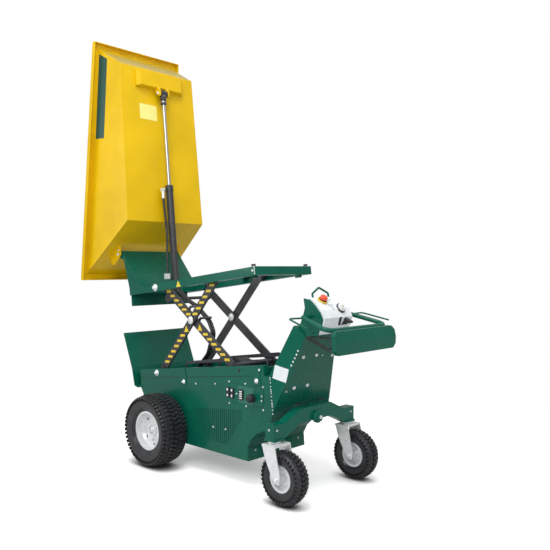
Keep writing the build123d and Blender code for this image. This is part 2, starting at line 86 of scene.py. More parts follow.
CROSS = pivot("scissor_cross")
ARM_B = local_frame(CROSS, angle_to(pivot("lift"), CROSS))
ARM_A = local_frame(CROSS, angle_to(pivot("frame_level"), CROSS))
ARM_OUTER, ARM_STEP = 0.193, 0.015  # outer face of arms B, and how far arms A lie inside it
FOOT = pivot("tip_cylinder_foot")
ROD_EYE = SKIP @ Vector((0, 1.138, -0.281))
TIP = local_frame(FOOT, angle_to(FOOT, ROD_EYE))
TOWER_FOOT = GROUND @ Vector((0, 0.957, 0.472))
TOWER_BACK = local_frame(TOWER_FOOT, angle_to(TOWER_FOOT, GROUND @ Vector((0, 1.1, 0.893))))
STOP = local_frame(GROUND @ Vector((0.062, 1.158, 1.094)), math.radians(-35))
DIAL = local_frame(GROUND @ Vector((-0.045, 1.205, 1.05)), math.radians(-55))
SLOPE_TILT, FALL_TILT = math.radians(-26.6), math.radians(-45.8)

# folded faces: where they start, in mm, and how far they go across or back for each mm along or up
FLANK_BACK, FLANK_UP = 0.49285, 0.09388
TOWER_START_Y, TOWER_START_Z, TOWER_LEAN, TOWER_LENGTH = 957, 472, 0.33967, 1.05606
HEAD_FOLD, HEAD_UPPER, HEAD_LOWER = 1000, 0.5, 0.26667
WALL_ALONG, WALL_OUT = 0.017241, 0.082844


# ---------------------------------------------------------------- modelling by operators
def deselect():
    if bpy.context.object and bpy.context.object.mode != "OBJECT":
        bpy.ops.object.mode_set(mode="OBJECT")
    bpy.ops.object.select_all(action="DESELECT")


def take(obj):
    deselect()
    obj.select_set(True)
    bpy.context.view_layer.objects.active = obj
    return obj


def named(name):
    obj = bpy.context.object
    obj.name = name
    obj.data.name = name
    return obj


def settle(obj, matrix=Matrix.Identity(4)):
    """Puts a piece in place and bakes the place into its mesh."""
    take(obj)
    obj.matrix_world = matrix @ obj.matrix_world
    bpy.ops.object.transform_apply(location=True, rotation=True, scale=True)
    return obj


def modify(obj, kind, **settings):
    """Adds one modifier and applies it."""
    take(obj)
    modifier = obj.modifiers.new(kind.title(), kind)
    for key, value in settings.items():
        setattr(modifier, key, value)
    bpy.ops.object.modifier_apply(modifier=modifier.name)
    return obj


def soften(obj, width):
    """Rounds the sharp edges of a piece."""
    return modify(obj, "BEVEL", width=width, segments=2, limit_method="ANGLE", angle_limit=0.6)


def turned(name, profile, sides, matrix, closed=False):
    """A form turned about local Z from (radius, height) rings, each extruded from the last."""
    deselect()
    radius, height = profile[0]
    bpy.ops.mesh.primitive_circle_add(vertices=sides, radius=radius, location=(0, 0, 0),
                                      fill_type="NOTHING" if closed else "NGON")
    obj = named(name)
    bpy.ops.object.mode_set(mode="EDIT")
    bpy.ops.mesh.select_all(action="SELECT")
    bpy.ops.transform.translate(value=(0, 0, height))
    for next_radius, next_height in profile[1:]:
        bpy.ops.mesh.extrude_region_move(TRANSFORM_OT_translate={"value": (0, 0, next_height - height)})
        scale = next_radius / radius
        bpy.ops.transform.resize(value=(scale, scale, 1), center_override=(0, 0, next_height))
        radius, height = next_radius, next_height
    bpy.ops.mesh.select_all(action="SELECT")
    if closed:
        bpy.ops.mesh.remove_doubles(threshold=1e-5)
    bpy.ops.mesh.normals_make_consistent(inside=False)
    bpy.ops.object.mode_set(mode="OBJECT")
    return settle(obj, matrix)


def slab(name, outline, thickness, matrix, soft=0.0):
    """A flat plate on the local X-Y plane, grown along +Z, from the corners of its outline."""
    deselect()
    bpy.ops.mesh.primitive_circle_add(vertices=len(outline), radius=1, fill_type="NGON")
    obj = named(name)
    for vertex, corner in zip(obj.data.vertices, outline):
        vertex.co = (corner[0], corner[1], 0)
    bpy.ops.object.mode_set(mode="EDIT")
    bpy.ops.mesh.select_all(action="SELECT")
    bpy.ops.mesh.extrude_region_move(TRANSFORM_OT_translate={"value": (0, 0, thickness)})
    bpy.ops.mesh.select_all(action="SELECT")
    bpy.ops.mesh.normals_make_consistent(inside=False)
    bpy.ops.object.mode_set(mode="OBJECT")
    settle(obj, matrix)
    return soften(obj, soft) if soft else obj


def tube(name, points, radius):
    """A round bar along a smooth line."""
    deselect()
    bpy.ops.curve.primitive_nurbs_path_add()
    obj = named(name)
    obj.data.splines.clear()
    spline = obj.data.splines.new("NURBS")
    spline.points.add(len(points) - 1)
    for point, place in zip(spline.points, points):
        point.co = (*place, 1)
    spline.order_u = 3
    spline.use_endpoint_u = True
    obj.data.bevel_depth = radius
    obj.data.bevel_resolution = 3
    obj.data.use_fill_caps = True
    take(obj)
    bpy.ops.object.convert(target="MESH")
    return settle(bpy.context.object)


def copied(obj, matrix):
    twin = obj.copy()
    twin.data = obj.data.copy()
    bpy.context.collection.objects.link(twin)
    twin.matrix_world = matrix @ twin.matrix_world
    return twin


def joined(name, pieces):
    deselect()
    for piece in pieces:
        piece.select_set(True)
    bpy.context.view_layer.objects.active = pieces[0]
    if len(pieces) > 1:
        bpy.ops.object.join()
    return settle(named(name))


def strewn(name, pattern, places):
    """Copies of one small form at each matrix, joined into one piece."""
    copies = [copied(pattern, place) for place in places]
    bpy.data.objects.remove(pattern)
    return joined(name, copies)


def ringed(obj, count, centre):
    """Copies of a form round an axle along X through centre."""
    deselect()
    bpy.ops.object.empty_add(location=(0, 0, 0))
    guide = bpy.context.object
    turn = Matrix.Rotation(math.tau / count, 4, "X")
    guide.matrix_world = Matrix.Translation(centre) @ turn @ Matrix.Translation(-Vector(centre))
    bpy.context.view_layer.update()
    modify(obj, "ARRAY", count=count, use_relative_offset=False, use_object_offset=True, offset_object=guide)
    bpy.data.objects.remove(guide)
    return obj


def mirrored(obj):
    """The piece and its mirror image across the machine's middle."""
    return modify(obj, "MIRROR", use_axis=(True, False, False), use_mirror_merge=False)


def done(obj, body, material, replaces=(), sharp=35):
    """Finish and body of a new piece."""
    take(obj)
    obj.data.materials.clear()
    obj.data.materials.append(material)
    bpy.ops.object.shade_smooth_by_angle(angle=math.radians(sharp))
    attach(obj, body)
    if replaces:
        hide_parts(*replaces)
    return obj


def dress(obj, body, finish, sharp=35):
    """A new piece in one of the named finishes."""
    return done(obj, body, MATERIALS[finish], sharp=sharp)


# what a local X, Y and Z become on a face that looks each way
FACING = {
    "left": Matrix(((0, 0, 1, 0), (1, 0, 0, 0), (0, 1, 0, 0), (0, 0, 0, 1))),
    "right": Matrix(((0, 0, -1, 0), (-1, 0, 0, 0), (0, 1, 0, 0), (0, 0, 0, 1))),
    "rear": Matrix(((-1, 0, 0, 0), (0, 0, 1, 0), (0, 1, 0, 0), (0, 0, 0, 1))),
    "front": Matrix(((1, 0, 0, 0), (0, 0, -1, 0), (0, 1, 0, 0), (0, 0, 0, 1))),
    "up": Matrix.Identity(4),
    "down": Matrix(((1, 0, 0, 0), (0, -1, 0, 0), (0, 0, -1, 0), (0, 0, 0, 1))),
}


def mm(*values):
    return Vector(values) / 1000


def at(frame_matrix, way, point):
    """The place of a small piece on a face: its frame, the way the face looks, and X, Y, Z in mm."""
    return frame_matrix @ Matrix.Translation(mm(*point)) @ FACING[way]


def patch(name, frame_matrix, corners, thickness):
    """A flat sheet on the plane of its corners, in mm, which run anticlockwise as seen from outside."""
    points = [frame_matrix @ mm(*corner) for corner in corners]
    across = (points[1] - points[0]).normalized()
    out = across.cross(points[2] - points[0]).normalized()
    along = out.cross(across)
    plane = Matrix.Translation(points[0]) @ Matrix((across, along, out)).transposed().to_4x4()
    back = plane.inverted()
    return slab(name, [tuple((back @ point).xy) for point in points], thickness / 1000, plane)


# small fixings as turned rings: sides, then (radius, height) in units of the fixing's own radius
WASHER = (20, [(1.3, 0), (1.3, 0.16), (1.2, 0.2), (0.9, 0.2)])
FORMS = {
    "dome": [(20, [(1, 0), (1, 0.1), (0.9, 0.3), (0.66, 0.48), (0.36, 0.57), (0.06, 0.6)])],
    "cone": [(20, [(1, 0), (1, 0.12), (0.78, 0.3), (0.52, 0.62), (0.3, 0.86), (0.06, 0.92)])],
    "screw": [(14, [(1, 0), (1, 0.3), (0.78, 0.52), (0.42, 0.56), (0.38, 0.34), (0.05, 0.34)])],
    "bolt": [WASHER, (6, [(1, 0.16), (1, 0.72), (0.86, 0.82), (0.1, 0.84)])],
    "nut": [WASHER, (6, [(1, 0.16), (1, 0.86), (0.86, 0.96), (0.6, 0.96)]),
            (12, [(0.55, 0.5), (0.55, 1.35), (0.48, 1.45), (0.05, 1.45)])],
    "ring": [(24, [(1, 0), (1, 0.14), (0.9, 0.2), (0.05, 0.2)])],
    "bead": [(8, [(1, 0), (0.9, 0.4), (0.6, 0.65), (0.05, 0.72)])],
    "disc": [(24, [(1, 0), (1, 0.05), (0.05, 0.05)])],
}


def fixing(kind, radius):
    rings = [turned("fixing", [(r * radius, z * radius) for r, z in rows], sides, Matrix.Identity(4))
             for sides, rows in FORMS[kind]]
    return joined("fixing", rings)


def fixings(body, rows):
    """Rows of (name, form, radius in mm, finish, frame, way, on both sides, places in mm)."""
    for name, kind, radius, finish, frame_matrix, way, twin, places in rows:
        piece = strewn(name, fixing(kind, radius / 1000), [at(frame_matrix, way, place) for place in places])
        if twin:
            mirrored(piece)
        dress(piece, body, finish)


def patches(body, rows):
    """Rows of (name, finish, frame, thickness in mm, on both sides, list of corner rings in mm)."""
    for name, finish, frame_matrix, thickness, twin, rings in rows:
        piece = joined(name, [patch(name, frame_matrix, corners, thickness) for corners in rings])
        if twin:
            mirrored(piece)
        dress(piece, body, finish)


def rectangle(x, y0, y1, z0, z1, shear=0.0):
    """Corners on a face that looks left."""
    return [(x, y0, z0), (x, y1, z0 + shear), (x, y1, z1 + shear), (x, y0, z1)]


def oval(x, y, z, half_wide, half_high, count):
    """Corners of an oval on a face that looks left."""
    turns = [k * math.tau / count for k in range(count)]
    return [(x, y + half_wide * math.cos(turn), z + half_high * math.sin(turn)) for turn in turns]


def bolt_circle(x, radius, count, start=0.0):
    """Places in mm round an axle along X."""
    turns = [k * math.tau / count + start for k in range(count)]
    return [(x, radius * math.sin(turn), radius * math.cos(turn)) for turn in turns]


# ---------------------------------------------------------------- finishes
class Graph:
    """A node tree, with short ways to add nodes and join them."""

    def __init__(self, tree):
        self.nodes = tree.nodes
        self.links = tree.links

    def set(self, socket, value):
        if isinstance(value, bpy.types.NodeSocket):
            self.links.new(value, socket)
        else:
            socket.default_value = value

    def node(self, kind, inputs=(), **settings):
        node = self.nodes.new(kind)
        for key, value in settings.items():
            setattr(node, key, value)
        for socket, value in dict(inputs).items():
            self.set(node.inputs[socket], value)
        return node

    def math(self, operation, *values):
        return self.node("ShaderNodeMath", dict(enumerate(values)), operation=operation).outputs[0]

    def ramp(self, factor, low, high, value_low=0.0, value_high=1.0):
        made = self.node("ShaderNodeMapRange", {"Value": factor, "From Min": low, "From Max": high,
                                                "To Min": value_low, "To Max": value_high})
        return made.outputs["Result"]


class Finish(Graph):
    """One node material, read in object coordinates."""

    def __init__(self, name):
        self.material = bpy.data.materials.new(name)
        self.material.use_nodes = True
        super().__init__(self.material.node_tree)
        self.shader = self.nodes["Principled BSDF"]
        self.place = self.nodes.new("ShaderNodeTexCoord").outputs["Object"]

    def constant(self, **sockets):
        for name, value in sockets.items():
            self.shader.inputs[name.replace("_", " ")].default_value = value
        return self

    def noise(self, scale, detail=3.0, stretch=None):
        where = self.place
        if stretch:
            where = self.node("ShaderNodeMapping", {"Vector": where, "Scale": stretch}).outputs["Vector"]
        made = self.node("ShaderNodeTexNoise",
                         {"Vector": where, "Scale": scale, "Detail": detail, "Roughness": 0.55})
        return made.outputs["Fac"]

    def mix(self, factor, first, second):
        made = self.node("ShaderNodeMix", {"Factor": factor}, data_type="RGBA")
        for socket, value in ((made.inputs[6], first), (made.inputs[7], second)):
            self.set(socket, value if isinstance(value, bpy.types.NodeSocket) else (*value, 1))
        return made.outputs[2]

    def drive(self, socket, output):
        self.links.new(output, self.shader.inputs[socket])
        return self

    def relief(self, heights, edge=0.0):
        """Bump from (height, strength, distance) rows, over edges rounded by a small radius."""
        normal = None
        if edge:
            normal = self.node("ShaderNodeBevel", {"Radius": edge}, samples=4).outputs["Normal"]
        for height, strength, distance in heights:
            inputs = {"Height": height, "Strength": strength, "Distance": distance}
            if normal:
                inputs["Normal"] = normal
            normal = self.node("ShaderNodeBump", inputs).outputs["Normal"]
        return self.drive("Normal", normal)


def shade(colour, factor):
    return tuple(min(1.0, channel * factor) for channel in colour)


def gloss_paint(name, colour, rough, coat=0.14):
    """Powder coat: even colour with a fine orange peel and slightly rounded edges."""
    paint = Finish(name)
    cloud = paint.ramp(paint.noise(3.0, 2.0), 0.35, 0.65)
    paint.drive("Base Color", paint.mix(cloud, shade(colour, 0.93), shade(colour, 1.07)))
    paint.drive("Roughness", paint.ramp(paint.noise(11.0, 4.0), 0.3, 0.7, rough - 0.04, rough + 0.06))
    paint.constant(Specular_IOR_Level=0.2, Coat_Weight=coat, Coat_Roughness=0.06)
    return paint.relief([(paint.noise(420.0, 2.0), 0.05, 0.0006)], 0.002).material


def satin_paint(name, colour, rough=0.42):
    """Thin paint with a soft sheen, cloudier than the powder coat."""
    paint = Finish(name)
    cloud = paint.ramp(paint.noise(7.0, 4.0), 0.35, 0.7)
    paint.drive("Base Color", paint.mix(cloud, shade(colour, 0.85), shade(colour, 1.2)))
    paint.drive("Roughness", paint.ramp(paint.noise(18.0, 4.0), 0.3, 0.7, rough - 0.06, rough + 0.1))
    return paint.relief([(paint.noise(300.0, 3.0), 0.08, 0.0008)], 0.0015).material


def rubber(name, colour, rough=0.5, shine=0.38):
    surface = Finish(name)
    dust = surface.ramp(surface.noise(16.0, 5.0), 0.45, 0.8)
    surface.drive("Base Color", surface.mix(dust, colour, shade(colour, 1.7)))
    surface.drive("Roughness", surface.ramp(surface.noise(40.0, 3.0), 0.3, 0.7, rough, rough + 0.16))
    surface.constant(Specular_IOR_Level=shine)
    return surface.relief([(surface.noise(260.0, 3.0), 0.14, 0.001)], 0.0012).material


def tread_rubber(name, centre, tyre):
    """Tyre rubber round an axle along X: rough and near black down in the grooves, the black being painted shade,
    polished on the blocks.
    """
    radius, depth = tyre["radius"], tyre["depth"]
    tread = Finish(name)
    centred = tread.node("ShaderNodeMapping", {"Vector": tread.place, "Location": -Vector(centre)})
    axes = tread.node("ShaderNodeSeparateXYZ", {0: centred.outputs["Vector"]}).outputs
    wheel = tread.node("ShaderNodeCombineXYZ", {"Y": axes["Y"], "Z": axes["Z"]}).outputs[0]
    reach = tread.node("ShaderNodeVectorMath", {0: wheel}, operation="LENGTH").outputs["Value"]
    square = tread.math("MULTIPLY", axes["X"], axes["X"])
    level = tread.math("MULTIPLY_ADD", square, tyre["crown"] / tyre["half"] ** 2, reach)
    floor = tread.ramp(level, radius - 0.35 * depth, radius - 0.85 * depth)
    wall = tread.ramp(level, radius - 2.6 * depth, radius - 1.5 * depth)
    groove = tread.math("MULTIPLY", floor, wall)
    dust = tread.ramp(tread.noise(16.0, 5.0), 0.45, 0.8)
    block = tread.mix(dust, (0.020, 0.021, 0.024), (0.036, 0.037, 0.040))
    # painted shade: the grooves are coloured near black to stand in for the shade down in them
    tread.drive("Base Color", tread.mix(groove, block, (0.002, 0.002, 0.003)))
    tread.drive("Roughness", tread.ramp(groove, 0.0, 1.0, 0.3, 0.9))
    tread.constant(Specular_IOR_Level=0.5)
    return tread.relief([(tread.noise(260.0, 3.0), 0.10, 0.001)], 0.0012).material


def wheel_silver(name, colour):
    silver = Finish(name)
    tone = silver.ramp(silver.noise(9.0), 0.3, 0.7)
    silver.drive("Base Color", silver.mix(tone, shade(colour, 0.92), colour))
    silver.drive("Roughness", silver.ramp(silver.noise(30.0), 0.3, 0.7, 0.27, 0.4))
    silver.constant(Metallic=0.5, Specular_IOR_Level=0.5)
    return silver.relief([(silver.noise(350.0), 0.05, 0.0006)], 0.0012).material


def zinc_plate(name, colour):
    """Zinc with soft crystals."""
    zinc = Finish(name)
    crystal = zinc.node("ShaderNodeTexVoronoi", {"Vector": zinc.place, "Scale": 70.0})
    tone = zinc.ramp(crystal.outputs["Color"], 0.0, 1.0)
    zinc.drive("Base Color", zinc.mix(tone, shade(colour, 0.86), colour))
    zinc.drive("Roughness", zinc.ramp(zinc.noise(25.0, 4.0), 0.3, 0.7, 0.26, 0.42))
    zinc.constant(Metallic=0.45)
    return zinc.relief([(zinc.noise(200.0, 3.0), 0.08, 0.0006)], 0.001).material


def chrome(name, colour):
    rod = Finish(name)
    streak = rod.noise(60.0, 2.0, stretch=(1.0, 1.0, 0.04))
    rod.drive("Base Color", rod.mix(streak, shade(colour, 0.94), colour))
    rod.drive("Roughness", rod.ramp(streak, 0.3, 0.7, 0.1, 0.17))
    rod.constant(Metallic=1.0)
    return rod.relief([(streak, 0.02, 0.0003)]).material


def moulded(name, colour, rough=0.45, grain=0.1):
    plastic = Finish(name)
    tone = plastic.ramp(plastic.noise(14.0), 0.3, 0.7)
    plastic.drive("Base Color", plastic.mix(tone, shade(colour, 0.92), shade(colour, 1.05)))
    plastic.drive("Roughness", plastic.ramp(plastic.noise(35.0), 0.3, 0.7, rough - 0.05, rough + 0.06))
    return plastic.relief([(plastic.noise(700.0, 2.0), grain, 0.0005)], 0.001).material


def film(name, colour):
    """Printed vinyl."""
    vinyl = Finish(name)
    tone = vinyl.ramp(vinyl.noise(25.0), 0.3, 0.7)
    vinyl.drive("Base Color", vinyl.mix(tone, shade(colour, 0.95), colour))
    vinyl.constant(Roughness=0.35)
    return vinyl.relief([(vinyl.noise(90.0, 2.0), 0.04, 0.0006)]).material


MATERIALS = {}


def make_finishes(settings):
    green, yellow = tuple(settings.green), tuple(settings.yellow)
    MATERIALS.update(
        green_paint=gloss_paint("green_gloss", green, settings.gloss),
        yellow_paint=gloss_paint("yellow_gloss", yellow, settings.gloss - 0.04, 0.16),
        black_paint=satin_paint("black_satin", (0.040, 0.041, 0.045), 0.28),
        chrome_rod=chrome("chromed_rod", (0.6, 0.6, 0.61)),
        tyre_rubber=rubber("plain_rubber", (0.021, 0.022, 0.023)),
        wheel_silver=wheel_silver("rim_silver", (0.84, 0.86, 0.87)),
        zinc_steel=zinc_plate("zinc_plate", (0.88, 0.9, 0.91)),
        black_rubber=rubber("hose_rubber", (0.014, 0.015, 0.019), 0.22, 0.6),
        cast_grey=satin_paint("cast_grey", (0.10, 0.10, 0.10), 0.6),
        black_plastic=moulded("black_plastic", (0.018, 0.018, 0.02)),
        light_plastic=moulded("white_enamel", (0.84, 0.88, 0.9), 0.3, 0.03),
        red_plastic=moulded("red_plastic", (0.86, 0.09, 0.035), 0.3, 0.02),
        hazard=film("hazard_film", (0.83, 0.6, 0.035)),
        pale_film=film("pale_film", (0.97, 0.88, 0.27)),
        sand_film=film("sand_film", (0.44, 0.34, 0.06)),
        green_film=film("green_film", (0.012, 0.085, 0.07)),
        panel_film=film("panel_film", (0.016, 0.15, 0.1)),
        # dark green for painted shade under the rail's fold
        seam=satin_paint("seam_shadow", (0.001, 0.02, 0.013)),
        # darker green for painted shade in the louvre slots
        louvre=satin_paint("louvre_shadow", (0.003, 0.075, 0.047)),
        # white film, also used for painted highlight dots on a weld seam
        white_film=film("white_film", (0.78, 0.82, 0.84)),
        grey_film=film("grey_film", (0.2, 0.23, 0.26)),
        white_button=moulded("white_button", (0.82, 0.83, 0.84), 0.35, 0.02),
        brass=zinc_plate("brass", (0.62, 0.48, 0.2)),
        # a lighter copy of the green: painted highlight for the frame's weld beads
        weld=gloss_paint("painted_weld", shade(green, 1.5), 0.2, 0.2),
    )


# ---------------------------------------------------------------- wheels
def tread_row(name, radius, row, blocks, centre):
    """One row of blocks round a tyre: row gives (x, length, width, height, skew, turn, lean)."""
    x, length, width, height, skew, turn, lean = row
    outline = [(-width / 2, -length / 2 - skew), (0, -length / 2), (width / 2, -length / 2 - skew),
               (width / 2, length / 2 - skew), (0, length / 2), (-width / 2, length / 2 - skew)]
    place = (Matrix.Translation(centre) @ Matrix.Rotation(turn * math.tau / blocks, 4, "X")
             @ Matrix.Translation((x, 0, radius - height)) @ Matrix.Rotation(lean, 4, "Y"))
    piece = slab(name, outline, height, place, min(width, length) * 0.09)
    return ringed(piece, blocks, centre)


def tyre_piece(name, centre, tyre):
    """A tyre about its axle: a turned carcass with rows of tread blocks."""
    axle = Matrix.Translation(centre) @ FACING["left"]
    parts = [turned(name, tyre["carcass"], tyre["sides"], axle, closed=True)]
    for index, row in enumerate(tyre["rows"]):
        top = tyre["radius"] - tyre["crown"] * (row[0] / tyre["half"]) ** 2
        parts.append(tread_row(name + "_row" + str(index), top, row, tyre["blocks"], centre))
    return joined(name, parts)


def carcass_profile(radius, half, bead):
    """The tyre's section, from bead to bead: round shoulders over bulging walls."""
    shares = ((0, 0.60), (0.05, 0.68), (0.10, 0.66), (0.22, 0.80), (0.30, 0.90), (0.34, 0.89), (0.52, 0.97),
              (0.70, 0.97), (0.83, 0.92), (0.93, 0.80), (0.985, 0.52))
    outer = [(bead + up * (radius - bead), half * out) for up, out in shares] + [(radius, 0.0)]
    other = [(r, -x) for r, x in reversed(outer[:-1])]
    inner = [(bead - 0.002, -half * 0.5), (bead - 0.002, half * 0.5), outer[0]]
    return outer + other + inner


# treads in metres: places of the rows across the tyre, a block's length and width, how far its middle is set
# back (skew), how fast the rows lean outwards (bulge), depth of the grooves, how far the carcass fills them,
# drop of the tread at its edges (crown), and the shoulder blocks with their turn in shares of a pitch
TREADS = {
    "drive": {"across": (-0.064, -0.032, 0.0, 0.032, 0.064), "block": (0.0195, 0.028), "skew": 0.007,
              "bulge": 1.1, "depth": 0.011, "fill": 0.002, "crown": 0.019, "sides": 72, "shoulder": 0.080,
              "shoulder_block": (0.017, 0.015), "shoulder_turns": (0.25, 0.25), "shoulder_lean": 0.75},
    "castor": {"across": (-0.027, -0.009, 0.009, 0.027), "block": (0.0155, 0.0145), "skew": 0.005,
               "bulge": 5.0, "depth": 0.009, "fill": 0.001, "crown": 0.02, "sides": 56, "shoulder": 0.0395,
               "shoulder_block": (0.010, 0.015), "shoulder_turns": (0.5, 0.0), "shoulder_lean": 0.95},
}
RIM_LIP, WALL_SKIN, SHOULDER_EXTRA = 0.009, 0.002, 0.003


def tyre_sizes(kind, blocks):
    """Sizes of one kind of tyre, fitted to its node, with the rows of its tread."""
    tread = TREADS[kind]
    low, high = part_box(kind + "_tyre_left")
    rim_low, rim_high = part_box(kind + "_rim_left")
    radius, half = (high.z - low.z) / 2, (high.x - low.x) / 2
    depth = tread["depth"]
    rows = []
    for index, x in enumerate(tread["across"]):
        odd = index % 2
        skew = -tread["skew"] if odd else tread["skew"]
        rows.append((x, *tread["block"], depth, skew, 0.5 * odd, math.asin(x * tread["bulge"])))
    for sign, turn in zip((-1, 1), tread["shoulder_turns"]):
        x, lean = sign * tread["shoulder"], sign * tread["shoulder_lean"]
        rows.append((x, *tread["shoulder_block"], depth + SHOULDER_EXTRA, 0.0, turn, lean))
    bead = (rim_high.z - rim_low.z) / 2 - RIM_LIP
    carcass = carcass_profile(radius - depth + tread["fill"], half - WALL_SKIN, bead)
    return {**tread, "radius": radius, "half": half, "blocks": blocks, "rows": rows, "carcass": carcass}


def drive_wheels(settings):
    """Turf tyres, with the bolts, nuts, caps and valves of their wheels, and black discs in the rim's holes as
    painted shade.
    """
    tyre = tyre_sizes("drive", settings.drive_blocks)
    for side, name in ((1, "left"), (-1, "right")):
        centre = pivot("drive_roll_" + name)
        hub = Matrix.Translation(centre)
        body = "drive_wheel_" + name
        piece = tyre_piece("turf_tyre_" + name, centre, tyre)
        tread = tread_rubber("turf_rubber_" + name, centre, tyre)
        done(piece, body, tread, ["drive_tyre_" + name], 40)
        bolts, nuts = bolt_circle(side * 28, 34, 5), bolt_circle(side * 17, 62, 5, 0.6)
        holes = bolt_circle(side * 17, 82, 4, 2.4)
        fixings(body, [
            ("hub_bolts_" + name, "bolt", 5, "zinc_steel", hub, name, False, bolts),
            ("wheel_nuts_" + name, "nut", 8, "zinc_steel", hub, name, False, nuts),
            # black discs painted as the shade inside the rim's holes
            ("rim_holes_" + name, "disc", 8, "black_plastic", hub, name, False, holes),
        ])
        cap = [(side * 20.2, 0, 0)]
        fixings("chassis", [("stub_cap_" + name, "dome", 22, "zinc_steel", hub, name, False, cap)])
        stem = [(0.005, 0), (0.005, 0.02), (0.0035, 0.022), (0.0035, 0.034), (0.001, 0.035)]
        valve = turned("drive_valve_" + name, stem, 12, at(hub, name, (side * 22, 56, -78)))
        dress(valve, body, "black_rubber")


def castor_wheels(settings):
    """Block tyres, with the bolts of their rims and axles."""
    tyre = tyre_sizes("castor", settings.castor_blocks)
    for name in ("left", "right"):
        centre = pivot("castor_roll_" + name)
        hub = Matrix.Translation(centre)
        body = "castor_wheel_" + name
        piece = tyre_piece("block_tyre_" + name, centre, tyre)
        tread = tread_rubber("block_rubber_" + name, centre, tyre)
        done(piece, body, tread, ["castor_tyre_" + name], 40)
        outer, inner = bolt_circle(2.5, 36, 4, 0.4), bolt_circle(-2.5, 36, 4, 0.4)
        fixings(body, [
            ("rim_bolts_out_" + name, "bolt", 5, "zinc_steel", hub, "left", False, outer),
            ("rim_bolts_in_" + name, "nut", 5, "zinc_steel", hub, "right", False, inner),
        ])
        fixings("castor_" + name, [
            ("axle_nut_left_" + name, "nut", 12, "zinc_steel", hub, "left", False, [(64, 0, 0)]),
            ("axle_nut_right_" + name, "bolt", 12, "zinc_steel", hub, "right", False, [(-64, 0, 0)]),
        ])


# ---------------------------------------------------------------- marks on the arms
MARKED_ARMS = (  # name, frame, body, plane, way up, first mark above the crossing and first below
    ("b", ARM_B, "arm_b", ARM_OUTER, 1, 0.056, 0.139),
    ("a", ARM_A, "arm_a", ARM_OUTER - ARM_STEP, -1, 0.062, 0.147),
)
MARKS_EACH_WAY, MARK_HEIGHT, MARK_SLANT, MARK_THICKNESS = 6, 0.0155, 0.002, 0.0006
TRIANGLE, TRIANGLE_BELOW = [(-0.024, -0.020), (0.024, -0.020), (0.0, 0.021)], 0.079


def bar_outline(long, high, slant):
    return [(-long / 2 - slant, -high / 2), (long / 2 - slant, -high / 2),
            (long / 2 + slant, high / 2), (-long / 2 + slant, high / 2)]


def hazard_marks(settings):
    """Level bars along the outer faces of both pairs of arms, with a blank triangle below the crossing."""
    steps = [index * settings.mark_pitch for index in range(MARKS_EACH_WAY)]
    for name, matrix, body, plane, up, start, low_start in MARKED_ARMS:
        level = Matrix.Rotation(settings.mark_tilt - matrix.to_euler().x, 4, "X")
        bar = bar_outline(settings.mark_length, MARK_HEIGHT, MARK_SLANT * up)
        rows = [(up * (start + step), bar) for step in steps]
        rows += [(-up * (low_start + step), bar) for step in steps]
        rows += [(-up * TRIANGLE_BELOW, TRIANGLE)]
        marks = []
        for y, outline in rows:
            place = matrix @ Matrix.Translation((plane, y, 0)) @ level @ FACING["left"]
            marks.append(slab("mark", outline, MARK_THICKNESS, place))
        dress(mirrored(joined("hazard_marks_" + name, marks)), body, "hazard")


# ---------------------------------------------------------------- folded faces, as X, Y and Z in mm
SIDE = 250.0  # half the width of the chassis and of the lifting frame


def tower_flank(y, z):
    """A point on the tower's left face."""
    return (SIDE - FLANK_BACK * (y - 921) - FLANK_UP * (z - 661), y, z)


def tower_back(x, z):
    """A point on the tower's rear face."""
    return (x, TOWER_START_Y + (z - TOWER_START_Z) * TOWER_LEAN, z)


def head_slope(x, t):
    """A point on the head's upper slope, from its front edge at 0 to the fold at 1."""
    return (x, 1118 + 50 * t, 1110 - 25 * t)


def head_fall(x, t):
    """A point on the head's lower slope, from the fold at 0 to its rear edge at 1."""
    return (x, 1168 + 36 * t, 1085 - 37 * t)


def head_rear(x, z):
    """A point on the head's rear face, above or below its fold."""
    inset = (z - HEAD_FOLD) * HEAD_UPPER if z > HEAD_FOLD else (HEAD_FOLD - z) * HEAD_LOWER
    return (x, 1228 - inset, z)


def head_strip(right, left, high, low, depth=0.0):
    """Corners of an upright strip on the head's rear face, or let into it."""
    corners = (head_rear(right, high), head_rear(left, high), head_rear(left, low), head_rear(right, low))
    return [(x, y - depth, z) for x, y, z in corners]


def skip_wall(v, n):
    """A point on the skip's left wall, in the skip's frame."""
    return (334 - WALL_ALONG * (v - 210) + WALL_OUT * (n + 235), v, n)


# ---------------------------------------------------------------- fittings of the chassis, frame and skip
LOUVRES, LOUVRE_FIRST, LOUVRE_PITCH, LOUVRE_GAP = 25, 262, 18, (0.4, 6.6)


def louvres():
    """Painted shade: darker green sheets on the floors of the ventilation slots, whose lower ends follow the
    panel's cut corners.
    """
    slots = []
    for index in range(LOUVRES):
        y = LOUVRE_FIRST + index * LOUVRE_PITCH
        low = 215 + max(0, 400 - y) * 1.02 + max(0, y - 570) * 1.3
        high = 390.6 + (y - LOUVRE_FIRST) * 0.12
        slots.append(rectangle(247.45, y + LOUVRE_GAP[0], y + LOUVRE_GAP[1], low + 0.4, high))
    patches("chassis", [("louvre_floors", "louvre", GROUND, 0.3, True, slots)])


